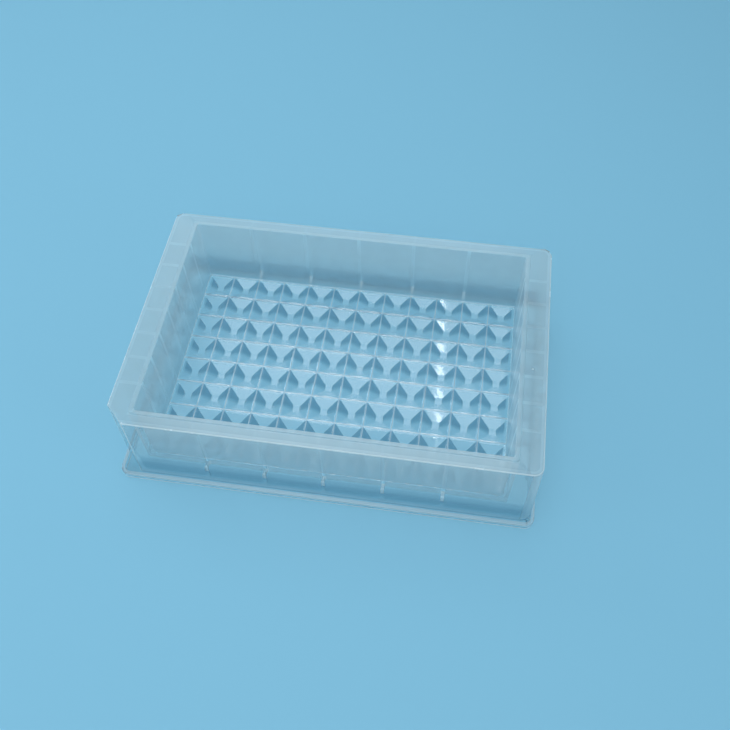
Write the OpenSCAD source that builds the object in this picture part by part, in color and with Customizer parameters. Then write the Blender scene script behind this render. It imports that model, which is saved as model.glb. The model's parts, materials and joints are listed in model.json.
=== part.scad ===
// Single-well reservoir plate on the standard microplate footprint.
//
// One injection-moulded piece of natural polypropylene: a base flange, a
// drafted outer wall with one keyed corner, a closed deck, and a deep trough
// whose floor is a grid of shallow inverted pyramids, one under each tip of a
// multichannel pipettor. Ribs under the deck tie the trough to the outer wall.
//
// Millimetres, +Z up, X along the length. The origin is the centre of the
// footprint on the bench, and the keyed corner is at -X, -Y.

/* [Base flange] */
// Length of the base flange
base_l = 127.76; // [105:0.01:155]
// Width of the base flange
base_w = 85.48; // [70:0.01:105]
// Height of the base flange
base_h = 2.5; // [1.8:0.1:5]
// Corner radius of the base flange
base_r = 3; // [2:0.1:5]
// Thickness of the flange's upright skirt
skirt_t = 1.1; // [0.8:0.05:1.6]
// Thickness of the shelf that joins the skirt to the outer wall
shelf_t = 1.2; // [0.8:0.05:1.5]

/* [Outer wall and deck] */
// Step from the flange's end in to the foot of the outer wall, along X
end_step = 1.05; // [0.8:0.05:2]
// Step from the flange's side in to the foot of the outer wall, along Y
side_step = 1.35; // [0.8:0.05:2]
// Height of the deck above the bench
deck_h = 31.4; // [18:0.1:45]
// Thickness of the deck
deck_t = 1.2; // [0.8:0.05:2]
// Thickness of the outer wall
wall_t = 1.4; // [0.9:0.05:1.8]
// Draft of the outer wall, in degrees
draft = 1.2; // [0.5:0.1:2]
// Radius of the three rounded corners at the deck
corner_r = 3; // [2.4:0.1:5]
// Leg of the keyed corner's chamfer at the deck
key_leg = 5.7; // [3:0.1:8]

/* [Trough] */
// Distance from the flange's end to the outer line of the first cell
end_margin = 9.88; // [7.5:0.01:14]
// Distance from the flange's side to the outer line of the first cell
side_margin = 6.74; // [5.5:0.01:12]
// Thickness of the trough's end walls
trough_end_t = 1.45; // [0.9:0.05:2]
// Thickness of the trough's side walls
trough_side_t = 1.2; // [0.9:0.05:2]
// Draft of the trough's faces, in degrees
trough_draft = 0.35; // [0.1:0.05:1]
// Radius of the trough's inner corners at the deck
inner_r = 0.5; // [0.4:0.1:1.5]
// Height of the sealing lip above the deck
lip_h = 0.5; // [0.2:0.1:1.5]
// Radius of the sealing lip's outer corners
lip_r = 1.2; // [0.8:0.1:1.8]

/* [Pyramid floor] */
// Cells along X, one inverted pyramid in each
cols = 12; // [4:1:14]
// Cells along Y
rows = 8; // [2:1:10]
// Height of the ridges between the cells above the bench
ridge_h = 6.1; // [5:0.1:9]
// Width of the flat top of a ridge
ridge_w = 0.6; // [0.3:0.1:1.2]
// Width of flat floor left between the outer pyramids and the trough's walls
floor_edge = 0.15; // [0.05:0.05:0.3]
// Depth of a pyramid below the ridges
pit_depth = 1.9; // [1:0.1:2.8]
// Width of the flat at the bottom of a pyramid
pit_flat = 2.3; // [1:0.1:4]
// Thickness of the floor
floor_t = 1.2; // [0.8:0.05:1.6]
// Diameter of the gate mark under the pyramid beside the centre
gate_d = 1.8; // [1:0.1:2.2]
// Depth of the gate mark
gate_depth = 0.3; // [0.1:0.05:0.5]

/* [Ribs] */
// Thickness of the ribs
rib_t = 1.2; // [0.8:0.05:2]
// Cells from one end rib to the next
end_rib_every = 1; // [1:1:3]
// Cells from one side rib to the next
side_rib_every = 2; // [1:1:4]
// Height of a rib's foot above the trough's underside, where it leaves the trough
rib_lift = 0.2; // [0.1:0.1:4]
// Rise of a rib's foot from the trough to the outer wall
rib_rise = 2; // [0:0.1:5]
// How far the run-out below each rib stands proud of the outer wall
runout_t = 0.6; // [0.2:0.1:1]

/* [Hidden] */
$fn = 48;

// Overlap of shapes that join, and overrun of cuts.
lap = 0.5;

// Inward lean of the faces for each millimetre of height.
lean = tan(draft);
trough_lean = tan(trough_draft);

deck_l = base_l - 2 * end_step - 2 * (deck_h - base_h) * lean;
deck_w = base_w - 2 * side_step - 2 * (deck_h - base_h) * lean;
ceiling = deck_h - deck_t;
lip_top = deck_h + lip_h;

cells_l = base_l - 2 * end_margin;
cells_w = base_w - 2 * side_margin;
col_pitch = cells_l / cols;
row_pitch = cells_w / rows;
floor_under = ridge_h - floor_t;

// The trough's opening at the ridges and, with the draft, at the deck.
floor_l = cells_l - ridge_w + 2 * floor_edge;
floor_w = cells_w - ridge_w + 2 * floor_edge;
trough_l = floor_l + 2 * (deck_h - ridge_h) * trough_lean;
trough_w = floor_w + 2 * (deck_h - ridge_h) * trough_lean;
trough_out_l = trough_l + 2 * trough_end_t;
trough_out_w = trough_w + 2 * trough_side_t;

// Section of a drafted box: `size` wide at the deck, wider below by `rate`
// for each millimetre on each side, from height z0 to z1.
module leaning_section(size, rate, z0, z1) {
    low = size / 2 + (deck_h - z0) * rate;
    high = size / 2 + (deck_h - z1) * rate;
    polygon([[-low, z0], [low, z0], [high, z1], [-high, z1]]);
}

// Extrudes a section drawn in X and Z along Y, from y0 to y1.
module along_y(y0, y1) {
    translate([0, y1, 0]) rotate([90, 0, 0]) linear_extrude(y1 - y0) children();
}

// Extrudes a section drawn in Y and Z along X, from x0 to x1.
module along_x(x0, x1) {
    translate([x0, 0, 0]) rotate([90, 0, 90]) linear_extrude(x1 - x0) children();
}

// Box with leaning faces and sharp edges, l by w at the deck's height.
module sharp_box(l, w, rate, z0, z1) {
    intersection() {
        along_y(-w, w) leaning_section(l, rate, z0, z1);
        along_x(-l, l) leaning_section(w, rate, z0, z1);
    }
}

// The same box with its upright edges rounded, to radius r at the deck's
// height. With `key` the edge at -X, -Y is left sharp.
module drafted_box(l, w, r, rate, z0, z1, key = false) {
    cx = l / 2 - r;
    cy = w / 2 - r;
    along_y(-cy, cy) leaning_section(l, rate, z0, z1);
    along_x(-cx, cx) leaning_section(w, rate, z0, z1);
    for (x = [-1, 1], y = [-1, 1])
        if (!key || x + y > -2)
            translate([x * cx, y * cy, z0])
                cylinder(h = z1 - z0, r1 = r + (deck_h - z0) * rate, r2 = r + (deck_h - z1) * rate);
    if (key)
        intersection() {
            sharp_box(l, w, rate, z0, z1);
            translate([-l, -w, z0]) cube([l, w, z1 - z0]);
        }
}

// Box with upright faces and rounded upright edges.
module round_box(l, w, r, z0, z1) {
    drafted_box(l, w, r, 0, z0, z1);
}

// Everything beyond the keyed corner's face, which lies `inset` inside it.
module key_cut(inset, z0, z1) {
    reach = (deck_l + deck_w - 2 * key_leg) / sqrt(8) - inset;
    low = reach + (deck_h - z0) * lean;
    high = reach + (deck_h - z1) * lean;
    rotate([0, 0, 225]) rotate([90, 0, 0]) linear_extrude(deck_l, center = true)
        polygon([[low, z0], [2 * reach, z0], [2 * reach, z1], [high, z1]]);
}

// The outer wall's solid form, `inset` inside its outer face.
module wall_form(inset, z0, z1) {
    difference() {
        drafted_box(deck_l - 2 * inset, deck_w - 2 * inset, corner_r - inset, lean, z0, z1, key = true);
        key_cut(inset, z0 - lap, z1 + lap);
    }
}

// Base flange, outer wall and deck as one hollow shell, open below.
module shell() {
    difference() {
        union() {
            round_box(base_l, base_w, base_r, 0, base_h);
            wall_form(0, 0, deck_h);
        }
        wall_form(wall_t, -lap, ceiling);
        round_box(base_l - 2 * skirt_t, base_w - 2 * skirt_t, base_r - skirt_t, -lap, base_h - shelf_t);
    }
}

// Sections of `count` pyramids side by side, lowered by `drop`. They reach up
// by `lap` past the ridges, so that they overlap what they cut or join.
module pit_sections(count, pitch, drop) {
    top = (pitch - ridge_w) / 2;
    low = pit_flat / 2;
    for (i = [0 : count - 1])
        translate([(i + 0.5 - count / 2) * pitch, ridge_h - drop])
            polygon([[-top, lap], [-top, 0], [-low, -pit_depth], [low, -pit_depth], [top, 0], [top, lap]]);
}

// The grid of pyramids: what troughs along Y and troughs along X share.
module pyramids(drop) {
    intersection() {
        along_y(-cells_w / 2, cells_w / 2) pit_sections(cols, col_pitch, drop);
        along_x(-cells_l / 2, cells_l / 2) pit_sections(rows, row_pitch, drop);
    }
}

// The trough's walls and floor as one block, with each pyramid below it.
module trough_block() {
    sharp_box(trough_out_l, trough_out_w, -trough_lean, floor_under, deck_h);
    round_box(trough_out_l, trough_out_w, lip_r, ceiling, lip_top);
    pyramids(floor_t);
}

// Space inside the trough: down to the ridges, and into the pyramids.
module trough_space() {
    drafted_box(trough_l, trough_w, inner_r, -trough_lean, ridge_h, lip_top + lap);
    pyramids(0);
}

// Rib from the trough to the outer wall, drawn with the plate's middle at 0.
// Its foot rises outwards, and below it a run-out goes down the wall.
module rib_section(trough_size, deck_size) {
    foot_in = floor_under + rib_lift;
    foot_out = foot_in + rib_rise;
    inner = trough_size / 2 - (deck_h - foot_in) * trough_lean - lap;
    wall_face = deck_size / 2 - wall_t + (deck_h - foot_out) * lean;
    toe = base_h - shelf_t / 2;
    polygon([[inner, foot_in], [wall_face - runout_t, foot_out], [wall_face - runout_t, toe],
             [wall_face + lap, toe], [deck_size / 2 - lap, ceiling + lap], [inner, ceiling + lap]]);
}

// Ribs on the lines between cells, at both ends and along both sides.
module ribs() {
    for (j = [end_rib_every : end_rib_every : rows - 1], side = [0, 1])
        mirror([side, 0, 0]) translate([0, (j - rows / 2) * row_pitch, 0])
            along_y(-rib_t / 2, rib_t / 2) rib_section(trough_out_l, deck_l);
    for (i = [side_rib_every : side_rib_every : cols - 1], side = [0, 1])
        mirror([0, side, 0]) translate([(i - cols / 2) * col_pitch, 0, 0])
            along_x(-rib_t / 2, rib_t / 2) rib_section(trough_out_w, deck_w);
}

// Shallow round mark left by the gate, under a pyramid beside the centre.
module gate_mark() {
    x = (0.5 + cols % 2 / 2) * col_pitch;
    y = (0.5 + rows % 2 / 2) * row_pitch;
    translate([x, y, floor_under - pit_depth - lap]) cylinder(d = gate_d, h = lap + gate_depth);
}

module plate() {
    color([0.84, 0.88, 0.9, 0.6])
    difference() {
        union() {
            shell();
            trough_block();
            ribs();
        }
        trough_space();
        gate_mark();
    }
}

plate();
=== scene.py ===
import json
import math
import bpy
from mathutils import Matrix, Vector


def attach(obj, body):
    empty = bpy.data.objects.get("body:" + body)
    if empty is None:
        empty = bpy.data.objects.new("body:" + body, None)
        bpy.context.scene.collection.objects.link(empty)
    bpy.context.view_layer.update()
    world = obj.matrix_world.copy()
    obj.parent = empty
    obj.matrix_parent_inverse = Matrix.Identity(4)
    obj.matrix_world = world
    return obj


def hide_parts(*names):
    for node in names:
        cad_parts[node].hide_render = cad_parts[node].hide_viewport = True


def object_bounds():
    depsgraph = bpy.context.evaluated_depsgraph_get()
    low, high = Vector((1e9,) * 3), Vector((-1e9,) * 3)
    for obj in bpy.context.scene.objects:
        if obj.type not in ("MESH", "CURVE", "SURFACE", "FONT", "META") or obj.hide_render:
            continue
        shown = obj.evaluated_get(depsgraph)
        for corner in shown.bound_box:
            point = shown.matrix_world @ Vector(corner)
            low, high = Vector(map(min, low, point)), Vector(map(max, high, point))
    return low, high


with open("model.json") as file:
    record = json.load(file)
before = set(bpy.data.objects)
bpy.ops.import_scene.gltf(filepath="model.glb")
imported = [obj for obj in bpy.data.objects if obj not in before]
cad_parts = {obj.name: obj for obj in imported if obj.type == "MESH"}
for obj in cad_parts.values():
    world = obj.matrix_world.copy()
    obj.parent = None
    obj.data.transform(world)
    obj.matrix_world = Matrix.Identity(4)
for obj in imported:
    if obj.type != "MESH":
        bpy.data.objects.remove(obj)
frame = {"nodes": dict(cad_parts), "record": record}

from types import SimpleNamespace

import bmesh
import bpy
import numpy as np
from bpy.props import FloatProperty, FloatVectorProperty, IntProperty, PointerProperty, StringProperty
from bpy.types import NodeSocket, Operator, Panel, PropertyGroup
from mathutils import Vector

bl_info = {
    "name": "Reservoir Plate",
    "version": (1, 0, 0),
    "blender": (4, 5, 0),
    "location": "3D View > Sidebar > Plate",
    "description": "Finishes a moulded reservoir plate and sets its stage",
    "category": "Object",
}

MM = 0.001
CAD_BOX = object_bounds()
PLATE = frame["nodes"]["plate"]
MOUNTS = {mount["name"]: mount["pos_m"] for mount in frame["record"]["mounts"]}

# The flange's half length and half width, the deck's height and half the lip's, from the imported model.
BASE_HALF = CAD_BOX[1][0], CAD_BOX[1][1]
DECK = MOUNTS["deck"][2]
HALF_LIP = (MOUNTS["sealing_lip"][2] - DECK) / 2

# A length beyond every face, for a band that is open at one end.
FAR = 1.0

# An edge that turns less than this is part of a smooth face.
LEAST_TURN = math.radians(25)

# A flat face with more corners than this has holes and bays in it.
MANY_CORNERS = 30

# The heights from and to which features of the moulding and painted marks reach, and the width of the soft
# change at both ends, in millimetres. The low wall's band and the lines at the wall's foot and on the skirt
# hold painted shade; the skirt's foot and the ribs' toes hold painted highlights.
LEVELS = {
    "skirt_foot": (0.15, 0.75, 0.15),
    "skirt_line": (0.95, 1.2, 0.15),
    "shelf": (1.5, 2.6, 0.2),
    "foot_line": (2.6, 3.2, 0.2),
    "low_wall": (2.4, 10, 3),
    "low_edge": (4.6, 5.6, 0.3),
    "toe": (4.6, 7.6, 0.1),
}


def linear(hex_colour):
    """Linear RGBA of an sRGB hex colour, by the sRGB curve's two pieces."""
    channels = [int(hex_colour[i:i + 2], 16) / 255 for i in (1, 3, 5)]
    return tuple(c / 12.92 if c <= 0.04045 else ((c + 0.055) / 1.055) ** 2.4 for c in channels) + (1.0,)


def add_node(tree, kind, inputs=None, **settings):
    """Adds a node with its settings. Each input is a value, or a socket to link from."""
    node = tree.nodes.new(kind)
    for name, value in settings.items():
        setattr(node, name, value)
    for key, value in (inputs or {}).items():
        if isinstance(value, NodeSocket):
            tree.links.new(value, node.inputs[key])
        else:
            node.inputs[key].default_value = value
    return node


class PlateSizes(PropertyGroup):
    """Sizes of the moulding that its edges and its plastic follow."""
    deck_radius: FloatProperty(
        name="Deck edge", description="Rounding of the outer edge of the deck", default=0.45 * MM,
        unit="LENGTH")
    lip_radius: FloatProperty(
        name="Lip edge", description="Rounding of the sealing lip's edges", default=0.22 * MM, unit="LENGTH")
    ridge_radius: FloatProperty(
        name="Ridge", description="Rounding of each side of a floor ridge's top", default=0.26 * MM,
        unit="LENGTH")
    base_radius: FloatProperty(
        name="Flange edge", description="Rounding of the base flange's outer edges", default=0.3 * MM,
        unit="LENGTH")
    fine_radius: FloatProperty(
        name="Other edges", description="Rounding of the ribs, the pits and the underside", default=0.12 * MM,
        unit="LENGTH")
    tight_radius: FloatProperty(
        name="Tight edges", description="Rounding where the trough's walls meet its floor", default=0.05 * MM,
        unit="LENGTH")
    wall_half: FloatVectorProperty(
        name="Outer wall", description="Half length and half width of the outer wall at the deck", size=2,
        default=(62.22 * MM, 40.785 * MM), unit="LENGTH")
    wall_thickness: FloatProperty(
        name="Wall thickness", description="Thickness of the outer wall", default=1.4 * MM, unit="LENGTH")
    corner_radius: FloatProperty(
        name="Corner radius", description="Radius of the deck's rounded corners", default=3 * MM, unit="LENGTH")
    key_leg: FloatProperty(
        name="Key", description="Leg of the keyed corner's chamfer", default=5.7 * MM, unit="LENGTH")
    skirt: FloatProperty(
        name="Skirt", description="Thickness of the base flange's skirt", default=1.1 * MM, unit="LENGTH")
    trough_half: FloatVectorProperty(
        name="Trough", description="Half length and half width of the trough inside, at its floor", size=2,
        default=(53.85 * MM, 35.85 * MM), unit="LENGTH")
    ridge_height: FloatProperty(
        name="Ridge height", description="Height of the floor's ridges", default=6.1 * MM, unit="LENGTH")
    cell: FloatProperty(
        name="Cell pitch", description="Distance from one cell of the floor to the next", default=9 * MM,
        unit="LENGTH")
    rib: FloatProperty(
        name="Rib thickness", description="Thickness of the ribs", default=1.2 * MM, unit="LENGTH")
    pit: FloatProperty(
        name="Pit flat", description="Side of the flat bottom of a cell's pit", default=2.3 * MM, unit="LENGTH")
    trough_faces: FloatVectorProperty(
        name="Trough walls", description="From the edge of the trough's floor out to the inside of its walls, "
        "to their middle and to their outside", size=3, default=(0.3 * MM, 0.75 * MM, 1.75 * MM),
        unit="LENGTH")
    floor_band: FloatVectorProperty(
        name="Floor band", description="How far the floor's plastic reaches above its ridges, and how far from "
        "the trough's walls it starts to bend light", size=2, default=(0.4 * MM, 0.7 * MM), unit="LENGTH")
    crest_half: FloatVectorProperty(
        name="Ridge haze width", description="Half width of the haze on a long and on a cross ridge", size=2,
        default=(0.35 * MM, 0.17 * MM), unit="LENGTH")
    toe_reach: FloatVectorProperty(
        name="Toes", description="From the outer wall's face in to where a rib's toe ends and to where its tip "
        "starts", size=2, default=(1 * MM, 2.2 * MM), unit="LENGTH")
    corner_foot: FloatProperty(
        name="Corner foot", description="Height from which the outer wall's corners are hazy", default=3.5 * MM,
        unit="LENGTH")
    key_foot: FloatProperty(
        name="Key foot", description="Height from which the keyed corner's edges are light lines",
        default=2.8 * MM, unit="LENGTH")
    # Painted highlight: the light lines along the keyed corner's edges.
    key_line: FloatProperty(
        name="Key line", description="Half width of the light lines at the keyed corner", default=0.4 * MM,
        unit="LENGTH")
    # Painted highlight: the light line along the deck's outer edge.
    rim_highlight: FloatVectorProperty(
        name="Rim line", description="Width across and down of the light line on the deck's outer edge", size=2,
        default=(0.3 * MM, 0.35 * MM), unit="LENGTH")
    heel: FloatProperty(
        name="Heel", description="Height up to which the trough's front wall is veiled more", default=8.2 * MM,
        unit="LENGTH")
    front_span: FloatVectorProperty(
        name="Front span", description="Y from which that veil gathers, and Y at which it is full", size=2,
        default=(-24 * MM, -34 * MM), unit="LENGTH")
    outer_span: FloatVectorProperty(
        name="Outer span", description="Heights from and to which the outer wall's haze grows", size=2,
        default=(6 * MM, 15 * MM), unit="LENGTH")
    # The speck is a small round spot of strong haze in the deck; what it is in the real plate is not known.
    speck_place: FloatVectorProperty(
        name="Speck", description="Where a speck of cold plastic lies in the deck",
        default=(57.8 * MM, -6.3 * MM, 31.4 * MM), subtype="TRANSLATION")
    speck: FloatProperty(
        name="Speck radius", description="Radius of that speck", default=0.32 * MM, unit="LENGTH")


class PlasticLook(PropertyGroup):
    """Colour, haze and polish of the plastic. A haze is the share of light that one face scatters."""
    milk: StringProperty(name="Milk", description="sRGB hex colour of the plastic's haze", default="#E2F2F7")
    ridge_milk: StringProperty(
        name="Ridge milk", description="sRGB hex colour of the haze of the floor's ridges", default="#D6EBF5")
    # Painted shade: a darker copy of the haze colour, for low down.
    shaded_low_milk: StringProperty(
        name="Low milk", description="sRGB hex colour of the haze low down, where less light gets",
        default="#A9D0DF")
    clear: StringProperty(
        name="Clear", description="sRGB hex colour of what passes straight through a face", default="#FBFDFD")
    # Painted shade: this colour darkens what passes low on the outer wall and along thin lines at its foot and
    # on the flange.
    painted_shade: StringProperty(
        name="Dim", description="sRGB hex colour of what passes where a thick edge turns light away",
        default="#A9C4D0")
    # Painted shade: this colour darkens what passes a cell's slopes towards the plate's ends.
    facet_shade: StringProperty(
        name="Facet", description="sRGB hex colour of what passes a cell's slopes towards the plate's ends",
        default="#DAE4E9")
    low_haze: FloatProperty(
        name="Low wall haze", description="Haze at the foot of the trough's walls inside", default=0.42,
        subtype="FACTOR")
    high_haze: FloatProperty(
        name="High wall haze", description="Haze at the top of the trough's walls inside", default=0.34,
        subtype="FACTOR")
    outer_haze: FloatProperty(
        name="Outer wall haze", description="Haze of the outer wall", default=0.25, subtype="FACTOR")
    base_haze: FloatProperty(
        name="Base haze", description="Haze of the flange and the foot of the outer wall", default=0.07,
        subtype="FACTOR")
    pocket_haze: FloatProperty(
        name="Pocket haze", description="Haze of the ribs and the walls between which they stand", default=0.03,
        subtype="FACTOR")
    veil_haze: FloatProperty(
        name="Veil", description="Haze of the trough's walls towards the ribs", default=0.12, subtype="FACTOR")
    heel_haze: FloatProperty(
        name="Heel haze", description="Haze of the trough's front wall towards the ribs, at its foot",
        default=0.46, subtype="FACTOR")
    front_haze: FloatProperty(
        name="Front haze", description="Haze of the trough's front wall inside", default=0.6, subtype="FACTOR")
    deck_haze: FloatProperty(name="Deck haze", description="Haze of the deck", default=0.32, subtype="FACTOR")
    faint_haze: FloatProperty(
        name="Faint edge haze", description="Haze where a side rib or the trough's lower edge is seen end on",
        default=0.33, subtype="FACTOR")
    edge_haze: FloatProperty(
        name="Edge haze", description="Haze where plastic is seen end on, as over a wall or an end rib",
        default=0.38, subtype="FACTOR")
    # Painted highlight: the haze of thin bright lines, at the ribs' toes, the keyed corner and the deck's outer
    # edge.
    line_highlight_haze: FloatProperty(
        name="Corner haze", description="Haze of thin bright lines, as at a rib's toe or the keyed corner",
        default=0.65, subtype="FACTOR")
    end_root_haze: FloatProperty(
        name="End root haze", description="Haze inside the trough over the root of an end rib", default=0.5,
        subtype="FACTOR")
    side_root_haze: FloatProperty(
        name="Side root haze", description="Haze inside the trough over the root of a side rib", default=0.44,
        subtype="FACTOR")
    shelf_haze: FloatProperty(
        name="Shelf haze", description="Haze of the flange's edge beside the stacking shelf", default=0.36,
        subtype="FACTOR")
    # Painted highlight: the light line low on the flange's side.
    foot_highlight_haze: FloatProperty(
        name="Foot haze", description="Haze of the light line at the flange's foot", default=0.85,
        subtype="FACTOR")
    # Painted highlight: the bright tip of a rib's toe.
    toe_highlight_haze: FloatProperty(
        name="Toe haze", description="Haze of the tip of a rib's toe", default=0.95, subtype="FACTOR")
    # Painted highlights: the bright dots on the deck's outer edge.
    glint_haze: FloatProperty(
        name="Glint haze", description="Haze of the bright dots on the deck's outer edge", default=0.98,
        subtype="FACTOR")
    speck_haze: FloatProperty(
        name="Speck haze", description="Haze of the speck of cold plastic", default=0.9, subtype="FACTOR")
    floor_haze: FloatProperty(
        name="Floor haze", description="Haze of the pyramid floor", default=0.012, subtype="FACTOR")
    # Partly a painted highlight: the haze along the floor's ridge tops.
    ridge_haze: FloatProperty(
        name="Ridge haze", description="Haze of the tops of the floor's long ridges", default=0.42,
        subtype="FACTOR")
    cross_haze: FloatProperty(
        name="Cross ridge haze", description="Haze of the tops of the floor's cross ridges", default=0.12,
        subtype="FACTOR")
    cloud_share: FloatVectorProperty(
        name="Clouds", description="Least and most share of its haze that a wall shows from place to place",
        size=2, default=(0.96, 1.1))
    cloud_size: FloatProperty(
        name="Cloud size", description="Distance over which the walls' haze changes", default=14 * MM,
        unit="LENGTH")
    glint_size: FloatProperty(
        name="Glint spacing", description="Distance from dot to dot on the deck's outer edge", default=3 * MM,
        unit="LENGTH")
    glint_level: FloatProperty(
        name="Glint level", description="Noise level above which there is a dot", default=0.64,
        subtype="FACTOR")
    wave_size: FloatProperty(
        name="Wave size", description="Distance from wave to wave on the moulded faces", default=2.5 * MM,
        unit="LENGTH")
    wave_depth: FloatProperty(
        name="Wave depth", description="Depth of those waves", default=0.004 * MM, unit="LENGTH")
    # Painted shadow: how much the outer wall is darkened low down, at its ends and on its long sides.
    end_painted_shadow: FloatProperty(
        name="End dimming", description="Share of the dim colour low on the outer wall's ends", default=0.25,
        subtype="FACTOR")
    side_painted_shadow: FloatProperty(
        name="Side dimming", description="Share of the dim colour low on the outer wall's long sides",
        default=0.55, subtype="FACTOR")
    # Painted shade: where in a cell that darker tint is faint and where it is full.
    facet_near: FloatProperty(
        name="Near facet", description="Share of the facet colour in the near part of a cell", default=0.12,
        subtype="FACTOR")
    facet_span: FloatVectorProperty(
        name="Facet span", description="Shares of a cell's width from and to which the facet colour grows",
        size=2, default=(0.36, 0.6))
    back_share: FloatProperty(
        name="Back light", description="Share of its haze's light that a face takes from behind", default=0.5,
        subtype="FACTOR")
    # Painted highlight: the thin light lines take most of their light from in front.
    line_back_share: FloatProperty(
        name="Line back light", description="The same share on the thin light lines", default=0.12,
        subtype="FACTOR")
    lit_share: FloatProperty(
        name="Lit height", description="Share of the deck's height at which the haze has its full colour",
        default=0.7, subtype="FACTOR")
    satin: FloatProperty(
        name="Satin", description="Roughness of the walls and the deck", default=0.16, subtype="FACTOR")
    polish: FloatProperty(
        name="Polish", description="Roughness of the pyramid floor", default=0.03, subtype="FACTOR")
    ior: FloatProperty(name="IOR", description="Index of refraction of polypropylene", default=1.49)
    wall_shade: FloatProperty(
        name="Wall shade", description="Share of lamp light that passes each face of the walls", default=0.93,
        subtype="FACTOR")
    floor_shade: FloatProperty(
        name="Floor shade", description="Share of lamp light that passes each face of the pyramid floor",
        default=0.97, subtype="FACTOR")


class StageLook(PropertyGroup):
    """Colours, lamps and camera of the stage."""
    layers: IntProperty(
        name="Layers", description="Faces of clear plastic that a ray may pass one after another", default=32)
    mirrorings: IntProperty(
        name="Mirrorings", description="Times that light may be mirrored or bent in the plastic", default=24)
    floor_colour: StringProperty(
        name="Floor colour", description="sRGB hex colour of the floor", default="#7FBEDC")
    floor_reach: FloatProperty(
        name="Floor reach", description="Half the floor's side", default=3.0, unit="LENGTH")
    backdrop: FloatVectorProperty(
        name="Backdrop", description="Distances from the plate from and to which the floor turns into an even "
        "backdrop", size=2, default=(0.25, 0.8), unit="LENGTH")
    sky_colour: StringProperty(name="Sky colour", description="sRGB hex colour of the room", default="#F1F8FC")
    sky_low: FloatProperty(name="Low sky", description="Brightness of the room near the horizon", default=0.34)
    sky_high: FloatProperty(name="High sky", description="Brightness of the room overhead", default=0.18)
    surround_low: FloatProperty(
        name="Low surround", description="Brightness of the board's colour seen near the horizon", default=1.0)
    surround_high: FloatProperty(
        name="High surround", description="Brightness of the board's colour seen overhead", default=0.2)
    camera_place: FloatVectorProperty(
        name="Camera place", description="Where the camera stands", default=(0.03212, -0.14601, 0.23695),
        subtype="TRANSLATION")
    camera_turn: FloatVectorProperty(
        name="Camera turn", description="The camera's rotation about X, Y and Z",
        default=tuple(math.radians(a) for a in (33.560, 0.858, 8.434)), subtype="EULER")
    camera_lens: FloatProperty(
        name="Lens", description="Focal length on a 36 mm sensor", default=41.41, unit="CAMERA")


def rim_depth(tree, place, half, radius):
    """How far inside a rounded rectangle a point lies, up to the corner radius: the radius less the length
    of what the point's |x| and |y| have beyond the corner's centre."""
    across = add_node(tree, "ShaderNodeVectorMath", {0: place}, operation="ABSOLUTE").outputs[0]
    beyond = add_node(tree, "ShaderNodeVectorMath", {
        0: across, 1: (half[0] - radius, half[1] - radius, 1)}, operation="SUBTRACT").outputs[0]
    corner = add_node(tree, "ShaderNodeVectorMath", {0: beyond, 1: (0, 0, 0)}, operation="MAXIMUM").outputs[0]
    length = add_node(tree, "ShaderNodeVectorMath", {0: corner}, operation="LENGTH").outputs["Value"]
    return add_node(tree, "ShaderNodeMath", {0: radius, 1: length}, operation="SUBTRACT").outputs[0]


def band(tree, value, low, high, soft=0.1 * MM):
    """1 where value is from low to high and 0 elsewhere, with a smooth change of width soft at both ends: the
    distance from the band's middle, taken from half its width."""
    far = add_node(tree, "ShaderNodeMath", {0: value, 1: (low + high) / 2}, operation="SUBTRACT").outputs[0]
    far = add_node(tree, "ShaderNodeMath", {0: far}, operation="ABSOLUTE").outputs[0]
    half = (high - low) / 2
    return add_node(tree, "ShaderNodeMapRange", {
        "Value": far, "From Min": half + soft / 2, "From Max": half - soft / 2},
        interpolation_type="SMOOTHSTEP").outputs["Result"]


def all_of(tree, *masks):
    """The product of masks: 1 where all of them are 1."""
    whole = masks[0]
    for mask in masks[1:]:
        whole = add_node(tree, "ShaderNodeMath", {0: whole, 1: mask}, operation="MULTIPLY").outputs[0]
    return whole


def any_of(tree, *masks):
    """The largest of masks: 1 where any of them is 1."""
    whole = masks[0]
    for mask in masks[1:]:
        whole = add_node(tree, "ShaderNodeMath", {0: whole, 1: mask}, operation="MAXIMUM").outputs[0]
    return whole


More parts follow.
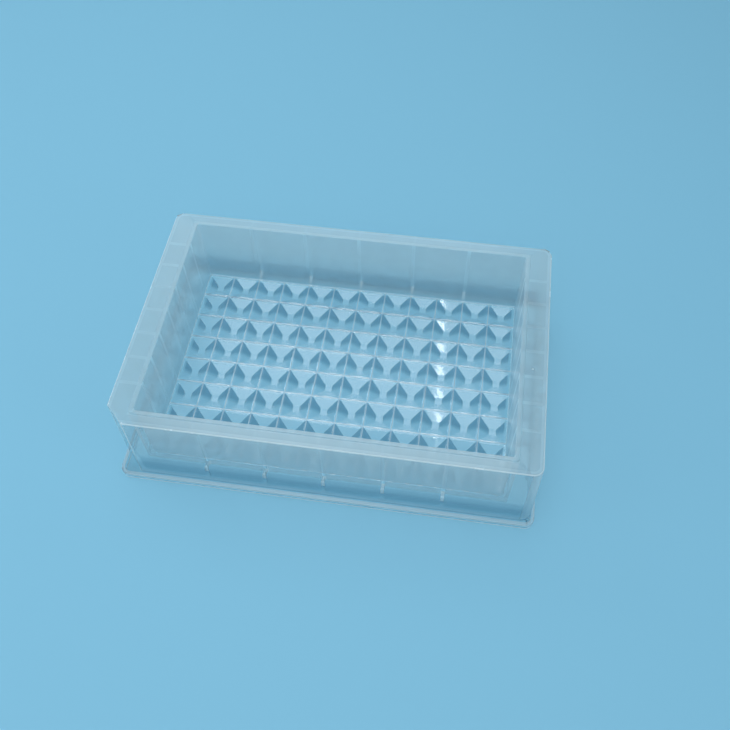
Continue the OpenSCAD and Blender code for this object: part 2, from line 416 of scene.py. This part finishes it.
def places(tree, sizes):
    """Where the parts of the moulding lie: a point's coordinates, and masks that are 1 on a part and 0
    elsewhere, each the product of bands across, along and up."""
    place = add_node(tree, "ShaderNodeTexCoord").outputs["Object"]
    axes = add_node(tree, "ShaderNodeSeparateXYZ", {"Vector": place}).outputs
    width = add_node(tree, "ShaderNodeMath", {0: axes["X"]}, operation="ABSOLUTE").outputs[0]
    depth = add_node(tree, "ShaderNodeMath", {0: axes["Y"]}, operation="ABSOLUTE").outputs[0]
    height = axes["Z"]
    cell = sizes.cell
    trough, wall = sizes.trough_half, sizes.wall_half
    inner, middle, outer = ([half + face for half in trough] for face in sizes.trough_faces)
    level = {name: band(tree, height, *(mm * MM for mm in span)) for name, span in LEVELS.items()}

    # The trough, its polished floor, the part of it that bends light, and the tops of its ridges.
    over_ridges, from_wall = sizes.floor_band
    in_trough = all_of(tree, band(tree, width, -FAR, inner[0]), band(tree, depth, -FAR, inner[1]))
    round_trough = all_of(tree, band(tree, width, -FAR, outer[0]), band(tree, depth, -FAR, outer[1]))
    floor = all_of(tree, in_trough, band(tree, height, -FAR, sizes.ridge_height + over_ridges))
    bends = all_of(
        tree, floor, band(tree, width, -FAR, trough[0] - from_wall),
        band(tree, depth, -FAR, trough[1] - from_wall))
    crest_depth = 0.06 * MM
    ridge = all_of(tree, floor, band(tree, height, sizes.ridge_height - crest_depth, FAR))

    # The hollow between the trough and the outer wall, and the rest.
    pocket_foot, pocket_top = 2 * MM, DECK - 0.5 * MM
    wall_depth = rim_depth(tree, place, wall, sizes.corner_radius)
    beside = add_node(tree, "ShaderNodeMath", {0: 1, 1: all_of(
        tree, band(tree, width, -FAR, middle[0]), band(tree, depth, -FAR, middle[1]))},
        operation="SUBTRACT").outputs[0]
    pocket = all_of(
        tree, beside, band(tree, wall_depth, sizes.wall_thickness / 2, FAR),
        band(tree, height, pocket_foot, pocket_top))
    bare = add_node(tree, "ShaderNodeMath", {0: 1, 1: pocket}, operation="SUBTRACT").outputs[0]

    # The deck and its lip, and where a wall or a rib stands end on behind a face. The end ribs stand a cell
    # apart, within 3.5 cells of the middle, and the side ribs two cells apart, within 4.5.
    top = band(tree, height, DECK - HALF_LIP, FAR)
    lip = band(tree, height, DECK + HALF_LIP, FAR)
    over_wall = band(tree, wall_depth, -FAR, sizes.wall_thickness, soft=0.4 * MM)
    to_end_rib, to_cross, to_side_rib = (
        add_node(tree, "ShaderNodeMath", {0: axes[name], 1: turn}, operation="PINGPONG").outputs[0]
        for name, turn in (("Y", cell / 2), ("X", cell / 2), ("X", cell)))
    margin = 0.1 * MM
    at_end = all_of(tree, band(tree, depth, -FAR, 3.5 * cell), band(tree, width, trough[0] - margin, FAR))
    at_side = all_of(tree, band(tree, width, -FAR, 4.5 * cell), band(tree, depth, trough[1] - margin, FAR))
    end_rib = all_of(tree, at_end, band(tree, to_end_rib, -FAR, sizes.rib / 2 + 0.05 * MM, soft=0.4 * MM))
    side_rib = all_of(tree, at_side, band(tree, to_side_rib, -FAR, sizes.rib / 2, soft=0.5 * MM))
    end_root = all_of(
        tree, at_end, band(tree, to_end_rib, -FAR, sizes.rib / 2), band(tree, width, -FAR, inner[0]))
    side_root = all_of(
        tree, at_side, band(tree, to_side_rib, -FAR, sizes.rib / 2), band(tree, depth, -FAR, inner[1]))

    # The trough's lower edge all round, its upright corners and its front wall, and the ribs' toes, which are
    # light lines, brightest at the tip: a rib seen end on, brightened as a painted highlight.
    low_edge = all_of(tree, round_trough, level["low_edge"])
    upright = all_of(
        tree, band(tree, width, inner[0], outer[0], soft=0.3 * MM),
        band(tree, depth, inner[1], outer[1], soft=0.3 * MM))
    front_wall = all_of(
        tree, band(tree, axes["Y"], -inner[1], 0.5 * MM - trough[1]), band(tree, width, -FAR, inner[0]),
        band(tree, height, sizes.ridge_height + 0.3 * MM, FAR))
    toe_end, tip_start = (wall[1] - reach for reach in sizes.toe_reach)
    toe = all_of(tree, side_rib, level["toe"], band(tree, depth, inner[1], toe_end))
    toe_tip_highlight = all_of(tree, toe, band(tree, depth, tip_start, FAR))

    # The outer wall's corners, and the two edges of the keyed one, which lie a leg to either side of the
    # corner's diagonal. Along the keyed corner's edges, where plastic is seen end on, the haze is made into
    # light lines, a painted highlight.
    corners = all_of(
        tree, band(tree, width, wall[0] - sizes.corner_radius, FAR, soft=0.6 * MM),
        band(tree, depth, wall[1] - sizes.corner_radius, FAR, soft=0.6 * MM),
        band(tree, height, sizes.corner_foot, DECK, soft=1 * MM), bare)
    along_key, out_of_key = (
        add_node(tree, "ShaderNodeVectorMath", {0: place, 1: way}, operation="DOT_PRODUCT").outputs["Value"]
        for way in ((1, -1, 0), (-1, -1, 0)))
    to_key = add_node(tree, "ShaderNodeMath", {
        0: along_key, 1: wall[1] - wall[0]}, operation="SUBTRACT").outputs[0]
    to_key = add_node(tree, "ShaderNodeMath", {0: to_key}, operation="ABSOLUTE").outputs[0]
    key_edge_highlight = all_of(
        tree, band(tree, to_key, sizes.key_leg - sizes.key_line, sizes.key_leg + sizes.key_line, soft=0.3 * MM),
        band(tree, out_of_key, sum(wall) - sizes.key_leg - 1 * MM, FAR),
        band(tree, height, sizes.key_foot, FAR))

    # The flange's edge beside the shelf, the light line along the deck's outer edge, which is a painted
    # highlight, and the speck.
    base_depth = rim_depth(tree, place, BASE_HALF, sizes.corner_radius)
    shelf = all_of(tree, band(tree, base_depth, -FAR, sizes.skirt, soft=0.2 * MM), level["shelf"])
    rim_across, rim_down = sizes.rim_highlight
    rim_highlight = all_of(
        tree, band(tree, wall_depth, -FAR, rim_across), band(tree, height, DECK - rim_down, FAR))
    speck = add_node(tree, "ShaderNodeVectorMath", {0: place, 1: sizes.speck_place}, operation="DISTANCE")
    speck = band(tree, speck.outputs["Value"], -FAR, sizes.speck)
    return SimpleNamespace(
        place=place, axes=axes, depth=depth, height=height, level=level, floor=floor, bends=bends, ridge=ridge,
        round_trough=round_trough, pocket=pocket, bare=bare, top=top, lip=lip, over_wall=over_wall,
        to_end_rib=to_end_rib, to_cross=to_cross, end_rib=end_rib, side_rib=side_rib, end_root=end_root,
        side_root=side_root, low_edge=low_edge, upright=upright, front_wall=front_wall, toe=toe,
        toe_tip_highlight=toe_tip_highlight, corners=corners, key_edge_highlight=key_edge_highlight, shelf=shelf, rim_highlight=rim_highlight, speck=speck)


def milkiness(tree, at, sizes, look):
    """The share of light that a face scatters. The walls' haze grows with height and clouds a little. Over it
    the largest haze of the parts that a point lies on is taken, and the floor has its own. Some of those parts
    are thin light lines and dots that are painted highlights."""
    climb = add_node(tree, "ShaderNodeMapRange", {
        "Value": at.height, "From Min": sizes.ridge_height, "From Max": DECK,
        "To Min": look.low_haze, "To Max": look.high_haze}).outputs["Result"]
    outer_climb = add_node(tree, "ShaderNodeMapRange", {
        "Value": at.height, "From Min": sizes.outer_span[0], "From Max": sizes.outer_span[1],
        "To Min": look.base_haze, "To Max": look.outer_haze}).outputs["Result"]
    haze = add_node(tree, "ShaderNodeMix", {
        "Factor": at.round_trough, "A": outer_climb, "B": climb}).outputs["Result"]
    clouds = add_node(tree, "ShaderNodeTexNoise", {
        "Vector": at.place, "Scale": 1 / look.cloud_size, "Detail": 2.0})
    clouds = add_node(tree, "ShaderNodeMapRange", {
        "Value": clouds.outputs["Fac"], "From Min": 0.3, "From Max": 0.7,
        "To Min": look.cloud_share[0], "To Max": look.cloud_share[1]}).outputs["Result"]
    haze = all_of(tree, haze, clouds)

    # Inside the hollow there is hardly any haze, and a veil on the trough's walls, more at the front's heel.
    front = add_node(tree, "ShaderNodeMapRange", {
        "Value": at.axes["Y"], "From Min": sizes.front_span[0], "From Max": sizes.front_span[1]},
        interpolation_type="SMOOTHSTEP").outputs["Result"]
    veil = add_node(tree, "ShaderNodeMix", {
        "Factor": all_of(tree, front, band(tree, at.height, -FAR, sizes.heel, soft=0.8 * MM)),
        "A": look.veil_haze, "B": look.heel_haze}).outputs["Result"]
    haze = add_node(tree, "ShaderNodeMix", {
        "Factor": at.pocket, "A": haze, "B": look.pocket_haze}).outputs["Result"]
    haze = add_node(tree, "ShaderNodeMix", {
        "Factor": all_of(tree, at.pocket, at.round_trough), "A": haze, "B": veil}).outputs["Result"]

    # Painted highlights: dots of brighter haze along the deck's outer edge, where the lamps would glint on it.
    painted_glints = add_node(tree, "ShaderNodeTexNoise", {
        "Vector": at.place, "Scale": 1 / look.glint_size, "Detail": 1.0})
    painted_glints = band(tree, painted_glints.outputs["Fac"], look.glint_level, FAR, soft=0.04)
    # Painted highlights among these parts: the deck's rim line and its dots, the flange's light foot line, the
    # keyed corner's lines and the ribs' toes.
    parts = (
        (at.top, look.deck_haze),
        (all_of(tree, at.top, at.side_rib), look.faint_haze),
        (all_of(tree, at.top, at.end_rib), look.edge_haze),
        (all_of(tree, at.top, at.over_wall), look.edge_haze),
        (at.lip, look.edge_haze),
        (at.side_root, look.side_root_haze),
        (at.front_wall, look.front_haze),
        (at.low_edge, look.faint_haze),
        (at.shelf, look.shelf_haze),
        (at.upright, look.edge_haze),
        (at.key_edge_highlight, look.line_highlight_haze),
        (at.corners, look.edge_haze),
        (at.end_root, look.end_root_haze),
        (at.rim_highlight, look.line_highlight_haze),
        (all_of(tree, at.rim_highlight, painted_glints), look.glint_haze),
        (at.level["skirt_foot"], look.foot_highlight_haze),
        (at.toe, look.line_highlight_haze),
        (at.toe_tip_highlight, look.toe_highlight_haze),
        (at.speck, look.speck_haze),
    )
    for mask, share in parts:
        haze = any_of(tree, haze, all_of(tree, mask, share))

    # The ridge tops are hazy, a stronger line along the middle of each ridge, wider on the long ridges than on
    # the cross ones, and fainter beside it. This haze is partly the plastic's own and partly a painted
    # highlight.
    long_half, cross_half = sizes.crest_half
    crest = any_of(
        tree, band(tree, at.to_end_rib, -FAR, long_half), band(tree, at.to_cross, -FAR, cross_half))
    on_ridge = add_node(tree, "ShaderNodeMapRange", {
        "Value": crest, "To Min": look.cross_haze, "To Max": look.ridge_haze}).outputs["Result"]
    on_floor = add_node(tree, "ShaderNodeMix", {
        "Factor": at.ridge, "A": look.floor_haze, "B": on_ridge}).outputs["Result"]
    return add_node(tree, "ShaderNodeMix", {"Factor": at.floor, "A": haze, "B": on_floor}).outputs["Result"]


def moulded_polypropylene(sizes, look):
    """Natural polypropylene, injection moulded: thin satin walls that let light straight through with a milky
    haze, which gathers where plastic lies deep, as over a wall or a rib. The pyramid floor comes from a
    polished mould, so it is clear and glossy, and it bends what is below it. Thin light lines along edges, toes
    and ridge tops are partly painted highlights. Darker tints low on the outer wall, on the lines at its foot,
    low in the haze and on the floor's slopes are painted shade."""
    mat = bpy.data.materials.new("moulded_natural_polypropylene")
    mat.use_nodes = True
    tree = mat.node_tree
    tree.nodes.clear()
    at = places(tree, sizes)
    haze = milkiness(tree, at, sizes, look)

    # A wall is so thin that it hardly shifts what is behind it, so light goes straight on through its faces,
    # less what they mirror, and a face seen from inside the wall mirrors as much as its outside does. The
    # floor bends light as solid plastic does.
    rough = add_node(tree, "ShaderNodeMapRange", {
        "Value": at.floor, "To Min": look.satin, "To Max": look.polish}).outputs["Result"]
    inside = add_node(tree, "ShaderNodeNewGeometry").outputs["Backfacing"]
    thin = add_node(tree, "ShaderNodeMath", {0: 1, 1: at.bends}, operation="SUBTRACT").outputs[0]
    ior = add_node(tree, "ShaderNodeMapRange", {
        "Value": all_of(tree, inside, thin), "To Min": look.ior, "To Max": 1 / look.ior}).outputs["Result"]
    mirrored = add_node(tree, "ShaderNodeFresnel", {"IOR": ior}).outputs[0]
    mirrored = all_of(tree, mirrored, at.bare)
    waves = add_node(tree, "ShaderNodeTexNoise", {
        "Vector": at.place, "Scale": 1 / look.wave_size, "Detail": 2.0})
    waves = add_node(tree, "ShaderNodeBump", {
        "Height": waves.outputs["Fac"], "Strength": 1.0, "Distance": look.wave_depth}).outputs["Normal"]

    # Painted shade: low on the outer wall's outside, the light that passes takes a darker tint, more on the
    # long sides than at the ends. It stands in for the plate's shadow on the floor seen through the wall. A
    # thin dark line at the wall's foot and another on the flange's side stand in for the dark that those edges
    # mirror and bend.
    outside = add_node(tree, "ShaderNodeMath", {0: 1, 1: at.round_trough}, operation="SUBTRACT").outputs[0]
    painted_shadow_share = add_node(tree, "ShaderNodeMapRange", {
        "Value": band(tree, at.depth, sizes.wall_half[1] - 2 * MM, FAR, soft=0.5 * MM),
        "To Min": look.end_painted_shadow, "To Max": look.side_painted_shadow}).outputs["Result"]
    foot_line = all_of(tree, at.bare, at.level["foot_line"])
    painted_shade_mask = any_of(
        tree, all_of(tree, outside, at.level["low_wall"], painted_shadow_share), foot_line, at.level["skirt_line"])
    tint = add_node(tree, "ShaderNodeMix", {
        "Factor": painted_shade_mask, "A": linear(look.clear), "B": linear(look.painted_shade)}, data_type="RGBA")
    straight = add_node(tree, "ShaderNodeBsdfTransparent", {"Color": tint.outputs["Result"]})

    # Painted shade: a cell's slopes towards the plate's ends take a darker tint, full in the far part of the
    # cell and faint in the near part. It stands in for the dark that bent light gives there. It is laid out by
    # place in the plate, so it stays in the same part of each cell from every side.
    nearer_cross = add_node(tree, "ShaderNodeMath", {
        0: at.to_end_rib, 1: at.to_cross}, operation="SUBTRACT").outputs[0]
    in_cell = add_node(tree, "ShaderNodeMath", {
        0: at.axes["Y"], 1: sizes.cell}, operation="FLOORED_MODULO").outputs[0]
    facet_from, facet_to = (share * sizes.cell for share in look.facet_span)
    shaded = add_node(tree, "ShaderNodeMapRange", {
        "Value": in_cell, "From Min": facet_from, "From Max": facet_to, "To Min": look.facet_near,
        "To Max": 1.0}, interpolation_type="SMOOTHSTEP").outputs["Result"]
    slope = all_of(
        tree, shaded, band(tree, nearer_cross, 0, FAR),
        band(tree, at.to_cross, -FAR, (sizes.cell - sizes.pit) / 2))
    facet_shade = add_node(tree, "ShaderNodeMix", {
        "Factor": slope, "A": linear("#FFFFFF"), "B": linear(look.facet_shade)}, data_type="RGBA")
    bent = add_node(tree, "ShaderNodeBsdfRefraction", {
        "Color": facet_shade.outputs["Result"], "Roughness": look.polish, "IOR": look.ior, "Normal": waves})
    through = add_node(tree, "ShaderNodeMixShader", {0: at.bends, 1: straight.outputs[0], 2: bent.outputs[0]})
    gloss = add_node(tree, "ShaderNodeBsdfAnisotropic", {
        "Color": linear("#FFFFFF"), "Roughness": rough, "Normal": waves})
    glass = add_node(tree, "ShaderNodeMixShader", {0: mirrored, 1: through.outputs[0], 2: gloss.outputs[0]})

    # Painted shade: the haze takes a darker colour low down, where less light gets, but not on the floor, the
    # shelf, the flange's light line or the ribs' toes. The light lines, which are painted highlights, take most
    # of their light in front.
    lines = any_of(tree, at.level["skirt_foot"], at.key_edge_highlight, at.rim_highlight)
    lit = add_node(tree, "ShaderNodeMapRange", {
        "Value": at.height, "From Min": sizes.ridge_height,
        "From Max": look.lit_share * DECK}).outputs["Result"]
    lit = any_of(tree, lit, at.floor, at.toe, at.level["skirt_foot"], at.shelf)
    lit = add_node(tree, "ShaderNodeMix", {
        "Factor": lit, "A": linear(look.shaded_low_milk), "B": linear(look.milk)}, data_type="RGBA").outputs["Result"]
    lit = add_node(tree, "ShaderNodeMix", {
        "Factor": at.floor, "A": lit, "B": linear(look.ridge_milk)}, data_type="RGBA").outputs["Result"]
    nearer = add_node(tree, "ShaderNodeBsdfDiffuse", {"Color": lit})
    farther = add_node(tree, "ShaderNodeBsdfTranslucent", {"Color": lit})
    share = add_node(tree, "ShaderNodeMapRange", {
        "Value": lines, "To Min": look.back_share, "To Max": look.line_back_share}).outputs["Result"]
    milk = add_node(tree, "ShaderNodeMixShader", {0: share, 1: nearer.outputs[0], 2: farther.outputs[0]})
    skin = add_node(tree, "ShaderNodeMixShader", {0: haze, 1: glass.outputs[0], 2: milk.outputs[0]})

    # Lamps and the light that the floor gathers pass straight through, each face dimming them a little.
    rays = add_node(tree, "ShaderNodeLightPath").outputs
    passing = add_node(tree, "ShaderNodeMapRange", {
        "Value": at.floor, "To Min": look.wall_shade, "To Max": look.floor_shade}).outputs["Result"]
    clear = add_node(tree, "ShaderNodeBsdfTransparent", {"Color": passing})
    for kind in ("Is Shadow Ray", "Is Diffuse Ray"):
        skin = add_node(tree, "ShaderNodeMixShader", {0: rays[kind], 1: skin.outputs[0], 2: clear.outputs[0]})
    add_node(tree, "ShaderNodeOutputMaterial", {"Surface": skin.outputs[0]})
    return mat


def seen_by_eye(tree):
    """1 for the rays by which the eye sees the room: straight, mirrored or through plastic."""
    rays = add_node(tree, "ShaderNodeLightPath").outputs
    return any_of(tree, rays["Is Glossy Ray"], rays["Is Transmission Ray"], rays["Is Camera Ray"])


def painted_board(look):
    """Matt painted board: a soft even colour with hardly any shine. Far from the plate it runs into the
    room's backdrop, and from below it is seen through."""
    colour = linear(look.floor_colour)
    mat = bpy.data.materials.new("painted_board")
    mat.use_nodes = True
    tree = mat.node_tree
    tree.nodes.clear()
    paint = add_node(tree, "ShaderNodeBsdfPrincipled", {
        "Base Color": colour, "Roughness": 0.7, "Specular IOR Level": 0.2})
    place = add_node(tree, "ShaderNodeTexCoord").outputs["Object"]
    away = add_node(tree, "ShaderNodeVectorMath", {0: place}, operation="LENGTH").outputs["Value"]
    away = add_node(tree, "ShaderNodeMapRange", {
        "Value": away, "From Min": look.backdrop[0], "From Max": look.backdrop[1]},
        interpolation_type="SMOOTHSTEP").outputs["Result"]
    backdrop = add_node(tree, "ShaderNodeEmission", {"Color": colour, "Strength": 1.0})
    board = add_node(tree, "ShaderNodeMixShader", {
        0: all_of(tree, away, seen_by_eye(tree)), 1: paint.outputs[0], 2: backdrop.outputs[0]})
    below = add_node(tree, "ShaderNodeNewGeometry").outputs["Backfacing"]
    clear = add_node(tree, "ShaderNodeBsdfTransparent")
    board = add_node(tree, "ShaderNodeMixShader", {0: below, 1: board.outputs[0], 2: clear.outputs[0]})
    add_node(tree, "ShaderNodeOutputMaterial", {"Surface": board.outputs[0]})
    return mat


def edge_turns(mesh):
    """The angle between the two faces at each edge. The loops sorted by edge give its faces in pairs, and
    the angle is the arc cosine of their normals' dot product."""
    edge_of_loop = np.empty(len(mesh.loops), np.int32)
    mesh.loops.foreach_get("edge_index", edge_of_loop)
    sides = np.empty(len(mesh.polygons), np.int32)
    mesh.polygons.foreach_get("loop_total", sides)
    normals = np.empty(len(mesh.polygons) * 3)
    mesh.polygons.foreach_get("normal", normals)
    face_of_loop = np.repeat(np.arange(len(sides)), sides)
    pairs = face_of_loop[np.argsort(edge_of_loop, kind="stable")].reshape(-1, 2)
    a, b = normals.reshape(-1, 3)[pairs.T]
    return np.arccos(np.clip((a * b).sum(1), -1, 1))


def edge_roundings(mesh, sizes):
    """The rounding of each edge, by where its middle lies: none on an edge that hardly turns."""
    corners = np.empty(len(mesh.vertices) * 3)
    mesh.vertices.foreach_get("co", corners)
    ends = np.empty(len(mesh.edges) * 2, np.int32)
    mesh.edges.foreach_get("vertices", ends)
    ends = corners.reshape(-1, 3)[ends.reshape(-1, 2)]
    x, y, z = np.abs(ends.mean(1)).T
    level = np.abs(ends[:, 0, 2] - ends[:, 1, 2]) < 0.01 * MM
    near = 0.05 * MM
    in_trough = (x < sizes.trough_half[0] + 0.4 * MM) & (y < sizes.trough_half[1] + 0.4 * MM)
    on_ridges = level & in_trough & (np.abs(z - sizes.ridge_height) < near)
    by_wall = on_ridges & ((x > sizes.trough_half[0] - 0.3 * MM) | (y > sizes.trough_half[1] - 0.3 * MM))
    outside = (x > sizes.wall_half[0] - sizes.key_leg) | (y > sizes.wall_half[1] - 0.4 * MM)

    radii = np.full(len(z), sizes.fine_radius)
    radii[on_ridges] = sizes.ridge_radius
    radii[by_wall] = sizes.tight_radius
    radii[z > DECK + near] = sizes.lip_radius
    radii[(np.abs(z - DECK) < near) & outside] = sizes.deck_radius
    radii[(z < 2.6 * MM) & ((x > BASE_HALF[0] - 3 * MM) | (y > BASE_HALF[1] - near))] = sizes.base_radius
    radii[edge_turns(mesh) < LEAST_TURN] = 0
    return radii


class PLATE_OT_moulding(Operator):
    """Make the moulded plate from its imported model, with rounded edges, in natural polypropylene"""
    bl_idname = "plate.moulding"
    bl_label = "Make the moulding"

    def execute(self, context):
        sizes = context.scene.plate_sizes
        mesh = PLATE.data.copy()
        mesh.name = "plate_moulding"
        mesh.attributes.remove(mesh.attributes["custom_normal"])
        shape = bmesh.new()
        shape.from_mesh(mesh)
        bmesh.ops.remove_doubles(shape, verts=shape.verts, dist=0.001 * MM)
        bmesh.ops.dissolve_limit(shape, angle_limit=math.radians(0.5), verts=shape.verts, edges=shape.edges)
        # The level faces with holes and bays are cut into plain ones, which no rounding turns inside out.
        bmesh.ops.connect_verts_concave(shape, faces=[
            face for face in shape.faces if abs(face.normal.z) > 0.9 and len(face.verts) > MANY_CORNERS])
        shape.to_mesh(mesh)
        shape.free()

        radii = edge_roundings(mesh, sizes)
        weight = mesh.attributes.new("bevel_weight_edge", "FLOAT", "EDGE")
        weight.data.foreach_set("value", radii / radii.max())
        mesh.polygons.foreach_set("use_smooth", np.ones(len(mesh.polygons), bool))
        piece = bpy.data.objects.new("plate_moulding", mesh)
        context.scene.collection.objects.link(piece)
        rounding = piece.modifiers.new("rounded_edges", "BEVEL")
        rounding.limit_method = "WEIGHT"
        rounding.width = radii.max()
        rounding.segments = 3
        rounding.use_clamp_overlap = False
        shading = piece.modifiers.new("flat_faces", "WEIGHTED_NORMAL")
        shading.weight = 100

        mesh.materials.clear()
        mesh.materials.append(moulded_polypropylene(sizes, context.scene.plate_plastic))
        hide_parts("plate")
        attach(piece, "root")
        return {"FINISHED"}


# Each soft box: its name, where it hangs, its two sizes and its power in watts. Each faces the plate.
SOFT_BOXES = (
    ("key", (-0.09, -0.42, 0.68), (0.60, 0.58), 1.98),
    ("overhead", (-0.08, 0.02, 0.78), (0.36, 0.30), 1.62),
    ("tube", (0.03, -0.42, 0.66), (0.004, 0.36), 0.045),
    ("ceiling", (-0.09, 0.40, 0.66), (0.44, 0.40), 0.96),
    ("back_left", (-0.52, 0.36, 0.48), (0.26, 0.20), 0.6),
    ("low_left", (-0.75, -0.25, 0.30), (0.35, 0.35), 1.08),
    ("low_right", (0.75, -0.30, 0.30), (0.35, 0.35), 1.08),
)


class PLATE_OT_stage(Operator):
    """Set the floor, the room's light, the soft boxes and the camera"""
    bl_idname = "plate.stage"
    bl_label = "Set the stage"

    def execute(self, context):
        look = context.scene.plate_stage
        scene = context.scene
        scene.view_settings.view_transform = "Standard"
        scene.cycles.transparent_max_bounces = look.layers
        scene.cycles.max_bounces = look.layers
        scene.cycles.glossy_bounces = look.mirrorings
        scene.cycles.transmission_bounces = look.mirrorings

        reach = look.floor_reach
        corners = [(-reach, -reach, 0), (reach, -reach, 0), (reach, reach, 0), (-reach, reach, 0)]
        mesh = bpy.data.meshes.new("floor")
        mesh.from_pydata(corners, [], [(0, 1, 2, 3)])
        mesh.materials.append(painted_board(look))
        floor = bpy.data.objects.new("floor", mesh)
        scene.collection.objects.link(floor)

        world = bpy.data.worlds.new("soft_room")
        world.use_nodes = True
        tree = world.node_tree
        tree.nodes.clear()
        aim = add_node(tree, "ShaderNodeTexCoord").outputs["Generated"]
        up = add_node(tree, "ShaderNodeSeparateXYZ", {"Vector": aim}).outputs["Z"]
        strength = add_node(tree, "ShaderNodeMapRange", {
            "Value": up, "To Min": look.sky_low, "To Max": look.sky_high}).outputs["Result"]
        sky = add_node(tree, "ShaderNodeBackground", {"Color": linear(look.sky_colour), "Strength": strength})
        # The board's colour all round, which gloss and clear plastic show.
        glow = add_node(tree, "ShaderNodeMapRange", {
            "Value": up, "To Min": look.surround_low, "To Max": look.surround_high}).outputs["Result"]
        surround = add_node(tree, "ShaderNodeBackground", {
            "Color": linear(look.floor_colour), "Strength": glow})
        both = add_node(tree, "ShaderNodeMixShader", {
            0: seen_by_eye(tree), 1: sky.outputs[0], 2: surround.outputs[0]})
        add_node(tree, "ShaderNodeOutputWorld", {"Surface": both.outputs[0]})
        scene.world = world

        for name, at, (across, along), power in SOFT_BOXES:
            lamp = bpy.data.lights.new(name, "AREA")
            lamp.shape = "RECTANGLE"
            lamp.size, lamp.size_y = across, along
            lamp.energy = power
            box = bpy.data.objects.new(name, lamp)
            box.location = at
            box.rotation_euler = Vector(at).to_track_quat("Z", "Y").to_euler()
            scene.collection.objects.link(box)

        lens = bpy.data.cameras.new("camera")
        lens.lens = look.camera_lens
        lens.sensor_width = 36
        lens.clip_start = 0.01
        camera = bpy.data.objects.new("camera", lens)
        camera.location = look.camera_place
        camera.rotation_euler = look.camera_turn
        scene.collection.objects.link(camera)
        scene.camera = camera
        return {"FINISHED"}


OPERATORS = (PLATE_OT_moulding, PLATE_OT_stage)


class PLATE_PT_sidebar(Panel):
    """The plate's steps, sizes and looks"""
    bl_idname = "PLATE_PT_sidebar"
    bl_label = "Reservoir plate"
    bl_space_type = "VIEW_3D"
    bl_region_type = "UI"
    bl_category = "Plate"

    def draw(self, context):
        for step in OPERATORS:
            self.layout.operator(step.bl_idname)
        for group in (context.scene.plate_sizes, context.scene.plate_plastic, context.scene.plate_stage):
            box = self.layout.box()
            for name in group.bl_rna.properties.keys():
                if name not in ("rna_type", "name"):
                    box.prop(group, name)


CLASSES = (PlateSizes, PlasticLook, StageLook, *OPERATORS, PLATE_PT_sidebar)


def register():
    for cls in CLASSES:
        bpy.utils.register_class(cls)
    bpy.types.Scene.plate_sizes = PointerProperty(type=PlateSizes)
    bpy.types.Scene.plate_plastic = PointerProperty(type=PlasticLook)
    bpy.types.Scene.plate_stage = PointerProperty(type=StageLook)


def unregister():
    del bpy.types.Scene.plate_stage
    del bpy.types.Scene.plate_plastic
    del bpy.types.Scene.plate_sizes
    for cls in reversed(CLASSES):
        bpy.utils.unregister_class(cls)


def main():
    register()
    bpy.ops.plate.moulding()
    bpy.ops.plate.stage()


if __name__ == "__main__":
    main()
